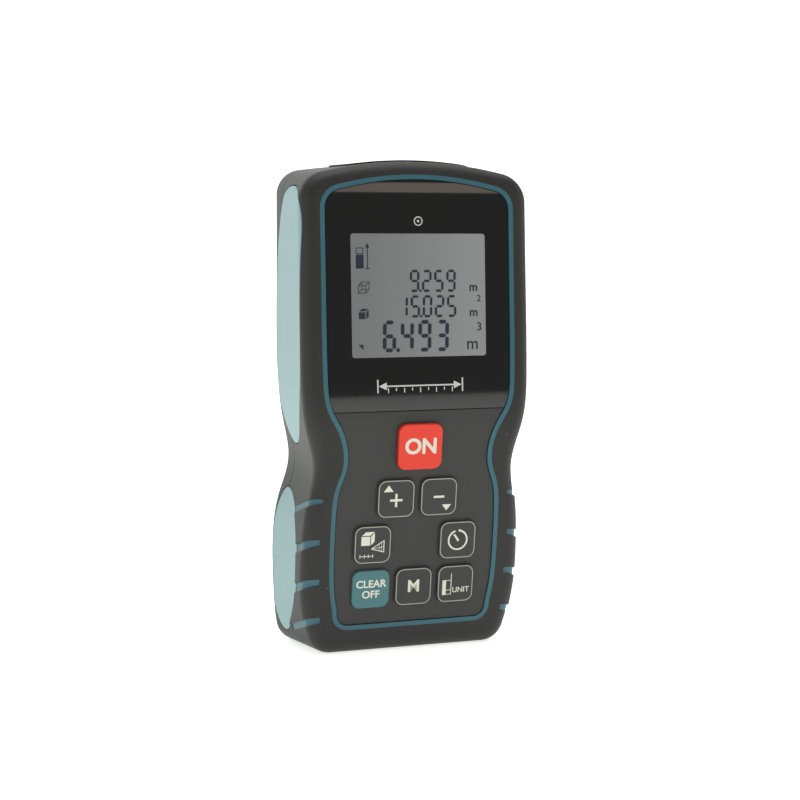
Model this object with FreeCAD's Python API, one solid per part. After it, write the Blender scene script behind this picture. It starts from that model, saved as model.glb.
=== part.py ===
import FreeCAD, Part
import math
import os
from FreeCAD import Vector, Placement, Rotation

# Laser distance meter. Millimetres, X to the right, the display faces -Y, +Z is the measuring
# direction. The meter stands on its bottom end at z = 0 and its back is flat at y = DEPTH / 2.

# ---- overall sizes
WIDTH = 57.0
DEPTH = 32.0
HEIGHT = 117.0
HALF = WIDTH / 2.0
FACE_BACK = 0.42           # the face stays this far behind the ON key's front
FRONT_Y = -DEPTH / 2.0 + FACE_BACK
BACK_Y = DEPTH / 2.0
RIM_PROUD = 0.4            # the optics bezel stands this far above the crown
TOP_Z = HEIGHT - RIM_PROUD
SECTION_Y = DEPTH / 2.0 + 2.0   # the body is drawn as two outlines, at -SECTION_Y and SECTION_Y
CROWN_R = (90.0, 200.0)    # of the front and of the rear outline
SHOULDER_R = (7.5, 5.8)
SHOULDER_IN = (-0.35, 2.0)
FOOT_IN = (5.3, 0.1)
FOOT_Z = (4.0, 4.2)
FOOT_CUT = 0.1              # how much of the foot is cut off level, so that the meter stands flat
FOOT_TILT = (math.radians(22.0), math.radians(8.0))
WAIST_Z = 45.0
# height, and how far the front and the rear outline lie inside HALF there
FLANKS = [
    (TOP_Z - 30.6, -0.35, 1.85), (WAIST_Z + 21.1, -0.25, 2.0), (WAIST_Z + 9.0, 0.9, 3.4),
    (WAIST_Z, 3.15, 4.35), (WAIST_Z - 8.8, 2.55, 1.45), (WAIST_Z - 19.0, 2.0, -0.28),
    (WAIST_Z - 32.5, 2.55, -0.25),
]
LOBE = 0.4                 # the grip's lobes stand this far out between the ribs
RIB_SINK = 0.1
RIB_FALL = 0.3             # the ribs fall this much for each millimetre towards the back
RIB_Y = -12.0              # the rib heights below are measured here
WINDOW_SLOPE = 0.044
KEYPAD_SLOPE = 0.131
KNEE_R = 60.0
ROLL_Z = TOP_Z - 8.1       # the top of the front face rolls back from here
ROLL_R = 15.0
ROLL_END = math.radians(50.0)
FRONT_FILLET = 3.4
REAR_FILLET = 4.0

# ---- walls and clearances
RUBBER_T = 1.4             # overmould
CORE_T = 1.6               # hard shell beneath it
SPLIT_Y = 3.0              # parting plane of front and rear shells
SEAM_Y = 6.6               # parting plane of front and rear grips
GAP = 0.3                  # between parts that move past each other
SEAM = 0.1                 # half of the visible seam between the two grips
FIT = 0.05                 # radial running clearance of a pin
TRIM_W = 1.1
TRIM_CROWN_R = 78.0
WINDOW_T = 1.5
SINK = 0.25                # window and mat lie this far below the surface
LENS_GAP = 0.25            # round each side panel

# ---- display and keys
KEY = 9.3
KEY_ON = 10.9
KEY_R = 2.0
KEY_TRAVEL = 0.7
KEY_PROUD = 0.45
ON_PROUD = 0.9
FLANGE = 0.5
FLANGE_GAP = 0.7           # between a key's flange and the hard floor in front of it
FLANGE_N = -(RUBBER_T + CORE_T + FLANGE_GAP)   # top of a flange, along the keypad normal
COLUMN = KEY + 1.5         # distance between key columns and between key rows
ROW = KEY + 1.6
ROW_1 = 15.6
ROW_2 = ROW_1 + ROW
ROW_3 = ROW_2 + ROW
ON_Z = ROW_3 + KEY / 2.0 + 2.3 + KEY_ON / 2.0
KEYS = [
    ("key_on", 0.0, ON_Z, KEY_ON, ON_PROUD),
    ("key_plus", -COLUMN / 2.0, ROW_3, KEY, KEY_PROUD),
    ("key_minus", COLUMN / 2.0, ROW_3, KEY, KEY_PROUD),
    ("key_function", -COLUMN, ROW_2, KEY, KEY_PROUD),
    ("key_timer", COLUMN, ROW_2, KEY, KEY_PROUD),
    ("key_clear", -COLUMN, ROW_1, KEY, KEY_PROUD),
    ("key_memory", 0.0, ROW_1, KEY, KEY_PROUD),
    ("key_unit", COLUMN, ROW_1, KEY, KEY_PROUD),
]
KNEE_Z = ON_Z + KEY_ON / 2.0 + 3.05   # where the window plane meets the keypad plane
LCD_W = 33.5
LCD_H = 28.8
LCD_LOW = KNEE_Z + 12.6
LCD_HIGH = LCD_LOW + LCD_H
LCD_Z = LCD_LOW + LCD_H / 2.0

# ---- batteries, cover, bracket
CELL_R = 5.25
CELL_L = 43.6
NIPPLE_R = 1.9
NIPPLE_L = 0.9
LEAF_T = 0.25               # contact springs
CELL_X = CELL_R + 0.35
CELL_Y = BACK_Y - 3.85 - CELL_R
CELL_LOW = 46.0
BAY_LOW = 43.6
BAY_HIGH = CELL_LOW + CELL_L + 3.6
BAY_HALF = 2.0 * CELL_X + 0.7
BAY_FLOOR = CELL_Y - CELL_R - 0.35
BAY_T = 1.2
COVER_T = 1.8
COVER_HALF = BAY_HALF + 1.7
COVER_LOW = BAY_LOW - 1.0   # hinge axis height
COVER_HIGH = BAY_HIGH + 0.8
HINGE_R = 1.4              # cover and bracket hinge barrels
PIN_R = 0.7
PIN_GRIP = 2.2             # how far a hinge pin enters the shell at each end
HINGE_Y = BACK_Y - 0.3 - HINGE_R
BRACKET_HALF = 12.0
BRACKET_Z = 3.6            # bracket hinge axis height
BRACKET_Y = BACK_Y - 1.8
BRACKET_T = 1.9
BRACKET_L = 23.0
TRIPOD_Z = 34.8
STRAP_X = HALF - 9.3        # pin for a hand strap, on the left
STRAP_Y = BACK_Y - 2.3
STRAP_Z = 24.2
STRAP_R = 0.8
TRIPOD_R = 3.175           # a quarter-inch thread
TRIPOD_L = 6.0
INSERT_R = TRIPOD_R + 1.8
SCREWS = [(s * (HALF - inwards), z) for inwards, z in ((7.3, TOP_Z - 10.1), (8.5, 14.0)) for s in (-1, 1)]

# ---- optics
OPTICS_X = 16.0
OPTICS_Y0 = -7.5
OPTICS_Y1 = 8.5
OPTICS_FLOOR = TOP_Z - RUBBER_T - CORE_T - 0.4
LENS_R = 6.6
LENS_X = 6.0
BEAM_X = -9.5
BEAM_R = 2.6
OPTICS_CY = (OPTICS_Y0 + OPTICS_Y1) / 2.0

SHAPES = {}


def box(x0, x1, y0, y1, z0, z1):
    return Part.makeBox(x1 - x0, y1 - y0, z1 - z0, Vector(x0, y0, z0))


def rod(r, length, base, direction):
    return Part.makeCylinder(r, length, Vector(*base), Vector(*direction))


def fused(shapes):
    shape = shapes[0].multiFuse(shapes[1:])
    return shape.removeSplitter()


def one(shape):
    return shape.Solids[0] if len(shape.Solids) == 1 else shape


def xz(p, side=1.0):
    return Vector(side * p[0], 0.0, p[1])


def outline(inset, k):
    # closed outline of section k: flat foot, rounded corners, waisted flanks, shoulders and crown
    tilt = FOOT_TILT[k]
    foot_r = FOOT_Z[k] / (1.0 - math.sin(tilt))
    foot_c = (HALF - FOOT_IN[k] - foot_r * math.cos(tilt), foot_r - FOOT_CUT)
    rb = foot_r - inset
    low = (foot_c[0], inset - FOOT_CUT)
    out = (foot_c[0] + rb * math.cos(tilt), foot_c[1] - rb * math.sin(tilt))
    turn = -(math.pi / 2.0 + tilt) / 2.0
    mid = (foot_c[0] + rb * math.cos(turn), foot_c[1] + rb * math.sin(turn))
    crown_z = TOP_Z - CROWN_R[k]
    cx = HALF - SHOULDER_IN[k] - SHOULDER_R[k]
    cz = crown_z + math.sqrt((CROWN_R[k] - SHOULDER_R[k]) ** 2 - cx ** 2)
    rs = SHOULDER_R[k] - inset
    side = (cx + rs, cz)
    angle = math.atan2(cz - crown_z, cx)
    knuckle = (cx + rs * math.cos(angle / 2.0), cz + rs * math.sin(angle / 2.0))
    crown = (cx + rs * math.cos(angle), cz + rs * math.sin(angle))
    top = (0.0, TOP_Z - inset)
    edges = [Part.LineSegment(xz(low, -1), xz(low)).toShape()]
    for s in (1, -1):
        flank = Part.BSplineCurve()
        points = [xz(out, s)]
        points += [xz((HALF - row[1 + k] - inset, row[0]), s) for row in reversed(FLANKS)]
        points += [xz(side, s)]
        start = Vector(s * math.sin(tilt), 0, math.cos(tilt))
        flank.interpolate(points, InitialTangent=start, FinalTangent=Vector(0, 0, 1))
        edges.append(flank.toShape())
        edges.append(Part.Arc(xz(low, s), xz(mid, s), xz(out, s)).toShape())
        edges.append(Part.Arc(xz(side, s), xz(knuckle, s), xz(crown, s)).toShape())
    edges.append(Part.Arc(xz(crown), xz(top), xz(crown, -1)).toShape())
    wire = Part.Wire(Part.__sortEdges__(edges))
    wire.translate(Vector(0, SECTION_Y * (2 * k - 1), 0))
    return wire


def front_y(z, inset=0.0):
    # y of the front face at height z, away from the knee's rounding and the roll at the top
    slope = WINDOW_SLOPE if z > KNEE_Z else KEYPAD_SLOPE
    return FRONT_Y + slope * abs(z - KNEE_Z) + inset * math.sqrt(1.0 + slope ** 2)


def profile_prism(inset):
    # side profile behind the convex front face, as wide as a prism can be
    a1 = math.atan(WINDOW_SLOPE)
    a2 = math.atan(KEYPAD_SLOPE)
    run = KNEE_R * math.tan((a1 + a2) / 2.0)
    c = (FRONT_Y + run * math.sin(a1) + KNEE_R * math.cos(a1),
         KNEE_Z + run * math.cos(a1) - KNEE_R * math.sin(a1))
    r = KNEE_R - inset
    upper = (c[0] - r * math.cos(a1), c[1] + r * math.sin(a1))
    lower = (c[0] - r * math.cos(a2), c[1] - r * math.sin(a2))
    knee = (c[0] - r, c[1])
    yr = FRONT_Y + (ROLL_Z - KNEE_Z) * WINDOW_SLOPE
    q = (yr + ROLL_R * math.cos(a1), ROLL_Z - ROLL_R * math.sin(a1))
    rr = ROLL_R - inset
    ring = []
    for a in (a1, (a1 + ROLL_END) / 2.0, ROLL_END):
        ring.append((q[0] - rr * math.cos(a), q[1] + rr * math.sin(a)))
    high = HEIGHT + 10.0
    corner = (lower[0] + (lower[1] + 5.0) * KEYPAD_SLOPE, -5.0)
    pts = [corner, lower, knee, upper, ring[0], ring[1], ring[2], (ring[2][0], high),
           (BACK_Y + 20.0, high), (BACK_Y + 20.0, -5.0)]
    v = [Vector(-WIDTH, p[0], p[1]) for p in pts]
    edges = [
        Part.LineSegment(v[0], v[1]), Part.Arc(v[1], v[2], v[3]), Part.LineSegment(v[3], v[4]),
        Part.Arc(v[4], v[5], v[6]), Part.LineSegment(v[6], v[7]), Part.LineSegment(v[7], v[8]),
        Part.LineSegment(v[8], v[9]), Part.LineSegment(v[9], v[0]),
    ]
    wire = Part.Wire([e.toShape() for e in edges])
    return Part.Face(wire).extrude(Vector(2.0 * WIDTH, 0, 0))


def rim_edges(solid, front):
    # edges between the flanks and the front, or between the flanks and the flat back
    found = {}
    for face in solid.Faces:
        u0, u1, v0, v1 = face.ParameterRange
        flank = abs(face.normalAt((u0 + u1) / 2.0, (v0 + v1) / 2.0).y) < 0.25
        for edge in face.Edges:
            found.setdefault(edge.hashCode(), [edge, []])[1].append(flank)
    rims = [e for e, kinds in found.values() if sorted(kinds) == [False, True]]
    return [e for e in rims if (e.CenterOfMass.y < SPLIT_Y) == front]


def envelope(inset):
    # the outer surface moved inwards by inset, as a solid
    solid = body_prism(inset).common(profile_prism(inset))
    solid = solid.common(box(-WIDTH, WIDTH, -DEPTH, BACK_Y - inset, -10, HEIGHT + 20)).Solids[0]
    solid = solid.makeFillet(FRONT_FILLET - min(inset, FRONT_FILLET - 0.8), rim_edges(solid, True))
    solid = solid.makeFillet(REAR_FILLET - min(inset, REAR_FILLET - 0.8), rim_edges(solid, False))
    return solid.cut(box(-WIDTH, WIDTH, -DEPTH, DEPTH, -10, inset)).Solids[0]


def trim_wire(offset):
    # centre line of the trim round window and keypad, moved outwards by offset
    low_z = 6.3 - offset
    high_z = TOP_Z - 3.7 + offset
    wide = HALF - 5.0
    pts = [(wide - 3.6, 12.5), (wide - 2.8, 24.0), (wide - 2.9, WAIST_Z - 11.0),
           (wide - 3.6, WAIST_Z - 5.0), (wide - 5.2, WAIST_Z), (wide - 5.2, WAIST_Z + 4.5),
           (wide - 3.5, WAIST_Z + 9.5), (wide - 1.1, WAIST_Z + 14.0), (wide - 0.1, WAIST_Z + 21.0),
           (wide, TOP_Z - 31.6)]
    top_x = wide - 5.0
    top_r = 5.0 + offset
    crown_r = TRIM_CROWN_R + offset
    cz = high_z - crown_r
    rise = math.sqrt((crown_r - top_r) ** 2 - top_x ** 2)
    top_c = (top_x, cz + rise)
    shoulder = (top_c[0] + top_r, top_c[1])
    angle = math.atan2(rise, top_c[0])
    knuckle = (top_c[0] + top_r * math.cos(angle / 2), top_c[1] + top_r * math.sin(angle / 2))
    crown = (top_c[0] + top_r * math.cos(angle), top_c[1] + top_r * math.sin(angle))
    low_r = 3.4 + offset
    low_c = (wide - 7.4, low_z + low_r)
    foot = (low_c[0] + low_r, low_c[1])
    foot_mid = (low_c[0] + low_r * math.cos(-math.pi / 4), low_c[1] + low_r * math.sin(-math.pi / 4))
    moved = []
    whole = [foot] + pts + [shoulder]
    for i, p in enumerate(pts):
        a, b = whole[i], whole[i + 2]
        if i == 0:
            a = (foot[0] - offset, foot[1])
        if i == len(pts) - 1:
            b = (shoulder[0] - offset, shoulder[1])
        n = math.hypot(b[0] - a[0], b[1] - a[1])
        moved.append((p[0] + offset * (b[1] - a[1]) / n, p[1] - offset * (b[0] - a[0]) / n))
    edges = [Part.LineSegment(xz((low_c[0], low_z), -1), xz((low_c[0], low_z))).toShape()]
    for s in (1, -1):
        flank = Part.BSplineCurve()
        line = [xz(foot, s)] + [xz(p, s) for p in moved] + [xz(shoulder, s)]
        flank.interpolate(line, InitialTangent=Vector(0, 0, 1), FinalTangent=Vector(0, 0, 1))
        edges.append(flank.toShape())
        edges.append(Part.Arc(xz((low_c[0], low_z), s), xz(foot_mid, s), xz(foot, s)).toShape())
        edges.append(Part.Arc(xz(shoulder, s), xz(knuckle, s), xz(crown, s)).toShape())
    edges.append(Part.Arc(xz(crown), xz((0.0, high_z)), xz(crown, -1)).toShape())
    return Part.Wire(Part.__sortEdges__(edges))


def trim_prism(offset):
    # everything in front of y = -3 inside the trim line
    prism = Part.Face(trim_wire(offset)).extrude(Vector(0, 30, 0))
    prism.translate(Vector(0, -33, 0))
    return prism


def band(outer, inner):
    return envelope(outer).cut(envelope(inner))


def keypad_frame():
    # local X across, local Y up the keypad plane, local Z out of it, at the knee line
    n = math.sqrt(1.0 + KEYPAD_SLOPE ** 2)
    up = Vector(0, -KEYPAD_SLOPE / n, 1.0 / n)
    out = Vector(0, -1.0 / n, -KEYPAD_SLOPE / n)
    matrix = FreeCAD.Matrix(1, up.x, out.x, 0, 0, up.y, out.y, FRONT_Y, 0, up.z, out.z, KNEE_Z, 0, 0, 0, 1)
    return Placement(matrix)


def window_frame():
    # the same for the window plane, at the middle of the display
    n = math.sqrt(1.0 + WINDOW_SLOPE ** 2)
    up = Vector(0, WINDOW_SLOPE / n, 1.0 / n)
    out = Vector(0, -1.0 / n, WINDOW_SLOPE / n)
    y = front_y(LCD_Z)
    matrix = FreeCAD.Matrix(1, up.x, out.x, 0, 0, up.y, out.y, y, 0, up.z, out.z, LCD_Z, 0, 0, 0, 1)
    return Placement(matrix)


def place(shape, frame):
    shape.Placement = frame.multiply(shape.Placement)
    return shape


def key_v(z):
    return (z - KNEE_Z) * math.sqrt(1.0 + KEYPAD_SLOPE ** 2)


def block(x, v, half_x, half_v, n0, n1, r=0.0):
    # a block in a local frame, its corners along the normal rounded to r
    shape = Part.makeBox(2 * half_x, 2 * half_v, n1 - n0, Vector(x - half_x, v - half_v, n0))
    if r > 0:
        upright = [e for e in shape.Edges if abs(e.tangentAt(e.FirstParameter).z) > 0.9]
        shape = shape.makeFillet(r, upright)
    return shape


def key_holes(extra, n0, n1):
    holes = []
    for name, x, z, size, proud in KEYS:
        half = size / 2.0 + extra
        holes.append(block(x, key_v(z), half, half, n0, n1, KEY_R + extra))
    return place(Part.makeCompound(holes), keypad_frame())


def make_keys():
    for name, x, z, size, proud in KEYS:
        half = size / 2.0
        cap = block(x, key_v(z), half, half, FLANGE_N, proud, KEY_R)
        top = [e for e in cap.Edges if e.BoundBox.ZMin > proud - 0.01]
        cap = cap.makeFillet(0.25, top)
        wide = half + FLANGE
        flange = block(x, key_v(z), wide, wide, FLANGE_N - 0.8, FLANGE_N, KEY_R)
        stem = rod(1.2, 0.5, (x, key_v(z), FLANGE_N - 1.3), (0, 0, 1))
        SHAPES[name] = place(fused([cap, flange, stem]), keypad_frame())


# outlines of the side panels on a flank: y, and height as a share of the panel's length
UPPER_PANEL = [(-3.0, 1.0), (-10.3, 0.945), (-11.5, 0.74), (-11.5, 0.36), (-8.9, 0.15), (5.3, 0.0),
               (11.2, 0.11), (12.2, 0.32), (12.2, 0.6), (9.6, 0.84), (4.0, 0.97)]
LOWER_PANEL = [(7.0, 1.0), (1.0, 0.94), (-3.1, 0.8), (-4.7, 0.58), (-3.1, 0.31), (2.1, 0.1), (7.2, 0.0),
               (10.9, 0.09), (12.0, 0.3), (12.0, 0.64), (10.9, 0.88)]
PANELS = [("upper", WAIST_Z + 5.0, TOP_Z - 5.8, UPPER_PANEL), ("lower", 3.6, WAIST_Z - 6.4, LOWER_PANEL)]


def panel_prism(side, z0, z1, table, grow):
    # a prism along X over a panel's outline, grown on every side
    y0 = min(y for y, t in table)
    y1 = max(y for y, t in table)
    mid_y = (y0 + y1) / 2.0
    mid_z = (z0 + z1) / 2.0
    ky = 1.0 + 2.0 * grow / (y1 - y0)
    kz = 1.0 + 2.0 * grow / (z1 - z0)
    points = []
    for y, t in table:
        z = z0 + t * (z1 - z0)
        points.append(Vector(side * (HALF - 10.5), mid_y + ky * (y - mid_y), mid_z + kz * (z - mid_z)))
    curve = Part.BSplineCurve()
    curve.interpolate(points, PeriodicFlag=True)
    return Part.Face(Part.Wire(curve.toShape())).extrude(Vector(side * 20.0, 0, 0))


def panel_prisms(grow):
    prisms = []
    for name, z0, z1, table in PANELS:
        for label, side in (("left", -1), ("right", 1)):
            prisms.append((name + "_" + label, panel_prism(side, z0, z1, table, grow)))
    return prisms


# of each rib: the tip's inset, and its upper and lower edge's heights at the outside and at the tip
RIBS = [(5.2, 39.4, 37.7, 36.8, 36.3), (4.7, 28.9, 28.4, 27.2, 25.8),
        (5.0, 19.4, 19.2, 17.9, 16.5), (5.4, 10.2, 10.2, 8.9, 7.8)]


def flank_wedge(side, back, tip_in, top_out, top_in, low_in, low_out):
    # a wedge over the front corner of one flank, falling towards its end at y = back
    outer = HALF + 3.0
    tip = HALF - tip_in
    start = FRONT_Y - 4.4
    up = RIB_FALL * (RIB_Y - start)
    pts = [(outer, low_out), (tip, low_in), (tip, top_in), (outer, top_out)]
    v = [Vector(side * x, start, z + up) for x, z in pts]
    face = Part.Face(Part.makePolygon(v + [v[0]]))
    run = back - start
    return face.extrude(Vector(0, run, -RIB_FALL * run))


def rib_prisms():
    # wedges that show the hard core between the lobes of the grip
    return [flank_wedge(side, SPLIT_Y - 0.6, *rib) for rib in RIBS for side in (1, -1)]


def make_lobes(skin):
    # from each rib to the next the grip stands out sideways, level with the front face
    core = envelope(RUBBER_T / 2.0)
    lobes = []
    for side in (1, -1):
        moved = skin.copy()
        moved.translate(Vector(side * LOBE, 0, 0))
        moved = moved.cut(core)
        for above, below in zip(RIBS, RIBS[1:]):
            wedge = flank_wedge(side, SEAM_Y - 0.6, 5.0, above[4], above[3], below[2], below[1])
            lobes.append(moved.common(wedge).Solids[0])
    return lobes


def optics_block(grow, z0, z1):
    shape = box(-OPTICS_X - grow, OPTICS_X + grow, OPTICS_Y0 - grow, OPTICS_Y1 + grow, z0, z1)
    upright = [e for e in shape.Edges if abs(e.tangentAt(e.FirstParameter).z) > 0.9]
    return shape.makeFillet(4.0 + grow, upright)


def body_prism(inset):
    return Part.makeLoft([outline(inset, 0), outline(inset, 1)], True, True)


def cover_block(grow, y0, y1):
    # space of the battery cover: a plate with a rounded hinge end
    low = COVER_LOW
    plate = box(-COVER_HALF - grow, COVER_HALF + grow, y0, y1, low, COVER_HIGH + grow)
    barrel = rod(HINGE_R + grow, 2 * (COVER_HALF + grow), (-COVER_HALF - grow, HINGE_Y, low), (1, 0, 0))
    return plate, barrel


def bracket_space():
    # pocket of the positioning bracket, open at the back and at the bottom edge
    half = BRACKET_HALF + 0.4
    floor = BRACKET_Y - HINGE_R - GAP
    top = BRACKET_Z + BRACKET_L + 0.4
    pocket = box(-half, half, floor, BACK_Y + 5, -5, top)
    nail = rod(3.0, 10.0, (0, floor + 0.6, top - 1.0), (0, 1, 0))
    return fused([pocket, nail])


def strap_space():
    return box(-STRAP_X - 3.4, -STRAP_X + 3.4, STRAP_Y - 1.4, BACK_Y + 5, STRAP_Z - 3.2, STRAP_Z + 3.3)


def strap_pin():
    return rod(STRAP_R, 9.8, (-STRAP_X - 4.9, STRAP_Y, STRAP_Z), (1, 0, 0))


def cover_space():
    plate, barrel = cover_block(GAP, HINGE_Y - HINGE_R - GAP, BACK_Y + 5)
    # the hinge end is open upwards from its rounding
    mouth = box(-COVER_HALF - GAP, COVER_HALF + GAP, HINGE_Y, BACK_Y + 5,
                COVER_LOW - HINGE_R - GAP, COVER_LOW + 1)
    return fused([plate, barrel, mouth])


def hinge_pin(y, z, half):
    length = 2.0 * (half + PIN_GRIP)
    return rod(PIN_R, length, (-length / 2.0, y, z), (1, 0, 0))


def screw_bosses(front):
    shapes = []
    for x, z in SCREWS:
        if front:
            start = front_y(z, 2.2)
            shapes.append(rod(2.7, SPLIT_Y - start, (x, start, z), (0, 1, 0)))
        else:
            shapes.append(rod(3.2, BACK_Y - 2.0 - SPLIT_Y, (x, SPLIT_Y, z), (0, 1, 0)))
    return shapes


def screw_holes(front):
    shapes = []
    for x, z in SCREWS:
        if front:
            shapes.append(rod(1.0, 6.5, (x, SPLIT_Y - 6.5, z), (0, 1, 0)))
        else:
            shapes.append(rod(1.2, 20.0, (x, SPLIT_Y - 1, z), (0, 1, 0)))
            shapes.append(rod(2.3, 20.0, (x, SPLIT_Y + 5.0, z), (0, 1, 0)))
    return shapes


def gasket_ring(grow):
    ring = band(RUBBER_T + 0.5 - grow, RUBBER_T + 1.1 + grow)
    ring = ring.cut(optics_block(1.0, 90.0, HEIGHT + 5))
    return ring.common(box(-WIDTH, WIDTH, SPLIT_Y - 0.5 - grow, SPLIT_Y + 0.5 + grow, -5, HEIGHT + 5))


def make_shells():
    skin = envelope(0.0)
    mid = envelope(RUBBER_T)
    void = envelope(RUBBER_T + CORE_T)
    rubber = skin.cut(mid)
    core = mid.cut(void)
    front_half = box(-WIDTH, WIDTH, -DEPTH, SPLIT_Y, -5, HEIGHT + 5)
    rear_half = box(-WIDTH, WIDTH, SPLIT_Y, DEPTH, -5, HEIGHT + 5)
    optics_hole = optics_block(0.15, 100.0, HEIGHT + 5)
    trim_out = trim_prism(TRIM_W / 2.0)
    trim_in = trim_prism(-TRIM_W / 2.0)
    ribs = rib_prisms()
    panels = Part.makeCompound([p for n, p in panel_prisms(LENS_GAP)])
    gasket = gasket_ring(0.0)
    # soft grips
    seam_front = box(-WIDTH, WIDTH, -DEPTH, SEAM_Y - SEAM, -5, HEIGHT + 5)
    seam_rear = box(-WIDTH, WIDTH, SEAM_Y + SEAM, DEPTH, -5, HEIGHT + 5)
    front_grip = rubber.common(seam_front).multiFuse(make_lobes(skin))
    for tool in [trim_out, panels, optics_hole, Part.makeCompound(ribs)]:
        front_grip = front_grip.cut(tool)
    SHAPES["front_grip"] = one(front_grip)
    pockets = [cover_space(), bracket_space(), strap_space()]
    pockets += [rod(INSERT_R, 20.0, (0, 8, TRIPOD_Z), (0, 1, 0)), strap_pin()]
    pockets += [hinge_pin(HINGE_Y, COVER_LOW, COVER_HALF), hinge_pin(BRACKET_Y, BRACKET_Z, BRACKET_HALF)]
    rear_grip = rubber.common(seam_rear).cut(panels).cut(optics_hole)
    for tool in pockets + screw_holes(False):
        rear_grip = rear_grip.cut(tool)
    plate = rear_grip.common(box(-13.0, 13.0, BACK_Y - 0.6, DEPTH, COVER_HIGH + 3.5, COVER_HIGH + 15.5))
    SHAPES["name_plate"] = one(plate)
    SHAPES["rear_grip"] = one(rear_grip.cut(plate))
    # front shell: core, trim ridge and rib ridges in one hard moulding
    ridge = trim_out.cut(trim_in).common(skin.cut(void))
    rib_band = envelope(RIB_SINK).cut(envelope(RUBBER_T + 0.4))
    rib_parts = [rib_band.common(r).cut(panels) for r in ribs]
    rib_parts = [s for part in rib_parts for s in part.Solids]
    recess = trim_in.cut(envelope(SINK + WINDOW_T))
    lcd_gate = place(block(0, 0, LCD_W / 2 + 0.8, LCD_H / 2 + 0.8, -6, 1, 1.0), window_frame())
    shell = core.common(front_half)
    shell = shell.multiFuse([ridge] + rib_parts + [b.cut(skin.cut(mid)) for b in screw_bosses(True)])
    for tool in [recess, lcd_gate, key_holes(GAP, -8, 2), optics_hole, gasket] + screw_holes(True):
        shell = shell.cut(tool)
    SHAPES["front_shell"] = one(shell)
    # rear shell: core, battery bay, pocket floors, bosses
    inside = envelope(RUBBER_T + 0.2)
    bay = box(-BAY_HALF - BAY_T, BAY_HALF + BAY_T, BAY_FLOOR - BAY_T, BACK_Y - 2, BAY_LOW - 2.6,
              BAY_HIGH + BAY_T + 1.4)
    half = BRACKET_HALF + 0.4 + 3.6
    dock = box(-half, half, BRACKET_Y - HINGE_R - GAP - 1.4, BACK_Y - 2, 1, BRACKET_Z + BRACKET_L + 4)
    strap_dock = box(-HALF, -STRAP_X + 6.0, STRAP_Y - 2.7, BACK_Y - 2,
                     STRAP_Z - 4.7, STRAP_Z + 4.8)
    seat = rod(INSERT_R + 1.5, 9.0, (0, BACK_Y - 10.0, TRIPOD_Z), (0, 1, 0))
    adds = [bay, dock, strap_dock, seat] + screw_bosses(False)
    shell = core.common(rear_half).multiFuse([a.common(inside) for a in adds])
    cells = box(-BAY_HALF, BAY_HALF, BAY_FLOOR, BACK_Y + 5, BAY_LOW + 1.3, BAY_HIGH)
    tools = [cells, rod(INSERT_R, 20.0, (0, BACK_Y - 7.9, TRIPOD_Z), (0, 1, 0))]
    tools += [cover_space(), bracket_space(), strap_space(), optics_hole, gasket]
    tools += [hinge_pin(HINGE_Y, COVER_LOW, COVER_HALF), hinge_pin(BRACKET_Y, BRACKET_Z, BRACKET_HALF)]
    tools += [strap_pin()] + screw_holes(False)
    for tool in tools:
        shell = shell.cut(tool)
    SHAPES["rear_shell"] = one(shell)
    SHAPES["housing_gasket"] = one(gasket)
    for name, prism in panel_prisms(0.0):
        SHAPES["side_panel_" + name] = one(rubber.common(prism))
    # window and keypad mat inside the trim
    sheet = envelope(SINK).cut(envelope(SINK + WINDOW_T)).common(trim_prism(-TRIM_W / 2.0 - 0.2))
    upper = box(-WIDTH, WIDTH, -DEPTH, 0, KNEE_Z + 0.1, HEIGHT + 5)
    lower = box(-WIDTH, WIDTH, -DEPTH, 0, -5, KNEE_Z - 0.1)
    SHAPES["display_window"] = one(sheet.common(upper))
    SHAPES["keypad_mat"] = one(sheet.common(lower).cut(key_holes(GAP, -8, 2)))
    SHAPES["strap_pin"] = strap_pin()


def make_display():
    frame = window_frame()
    hx = LCD_W / 2 + 2.4
    hv = LCD_H / 2 + 1.8
    deck = -(RUBBER_T + CORE_T) - 0.05
    glass = block(0, 0, hx, hv, deck - 1.6, deck)
    light = block(0, 0, hx - 0.6, hv - 0.6, deck - 3.5, deck - 1.6)
    frame_out = block(0, 0, hx + 1.4, hv + 1.4, deck - 4.3, deck, 1.0)
    ring = frame_out.cut(block(0, 0, hx, hv, deck - 3.5, deck + 1))
    ring = ring.cut(block(0, 0, hx - 3.0, hv - 3.0, deck - 5, deck))
    zebra = block(0, -hv + 1.5, hx - 2.0, 1.0, -13.4, deck - 3.5)
    SHAPES["lcd_glass"] = place(glass, frame)
    SHAPES["backlight"] = place(light, frame)
    slot = block(0, -hv + 1.5, hx - 1.7, 1.3, deck - 6, deck - 3)
    SHAPES["lcd_frame"] = place(ring.cut(slot), frame)
    tail = place(zebra, frame)
    front = box(-WIDTH, WIDTH, -DEPTH, BAY_FLOOR - BAY_T - 2.0, 0, HEIGHT)
    SHAPES["lcd_connector"] = one(tail.common(front))


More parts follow.
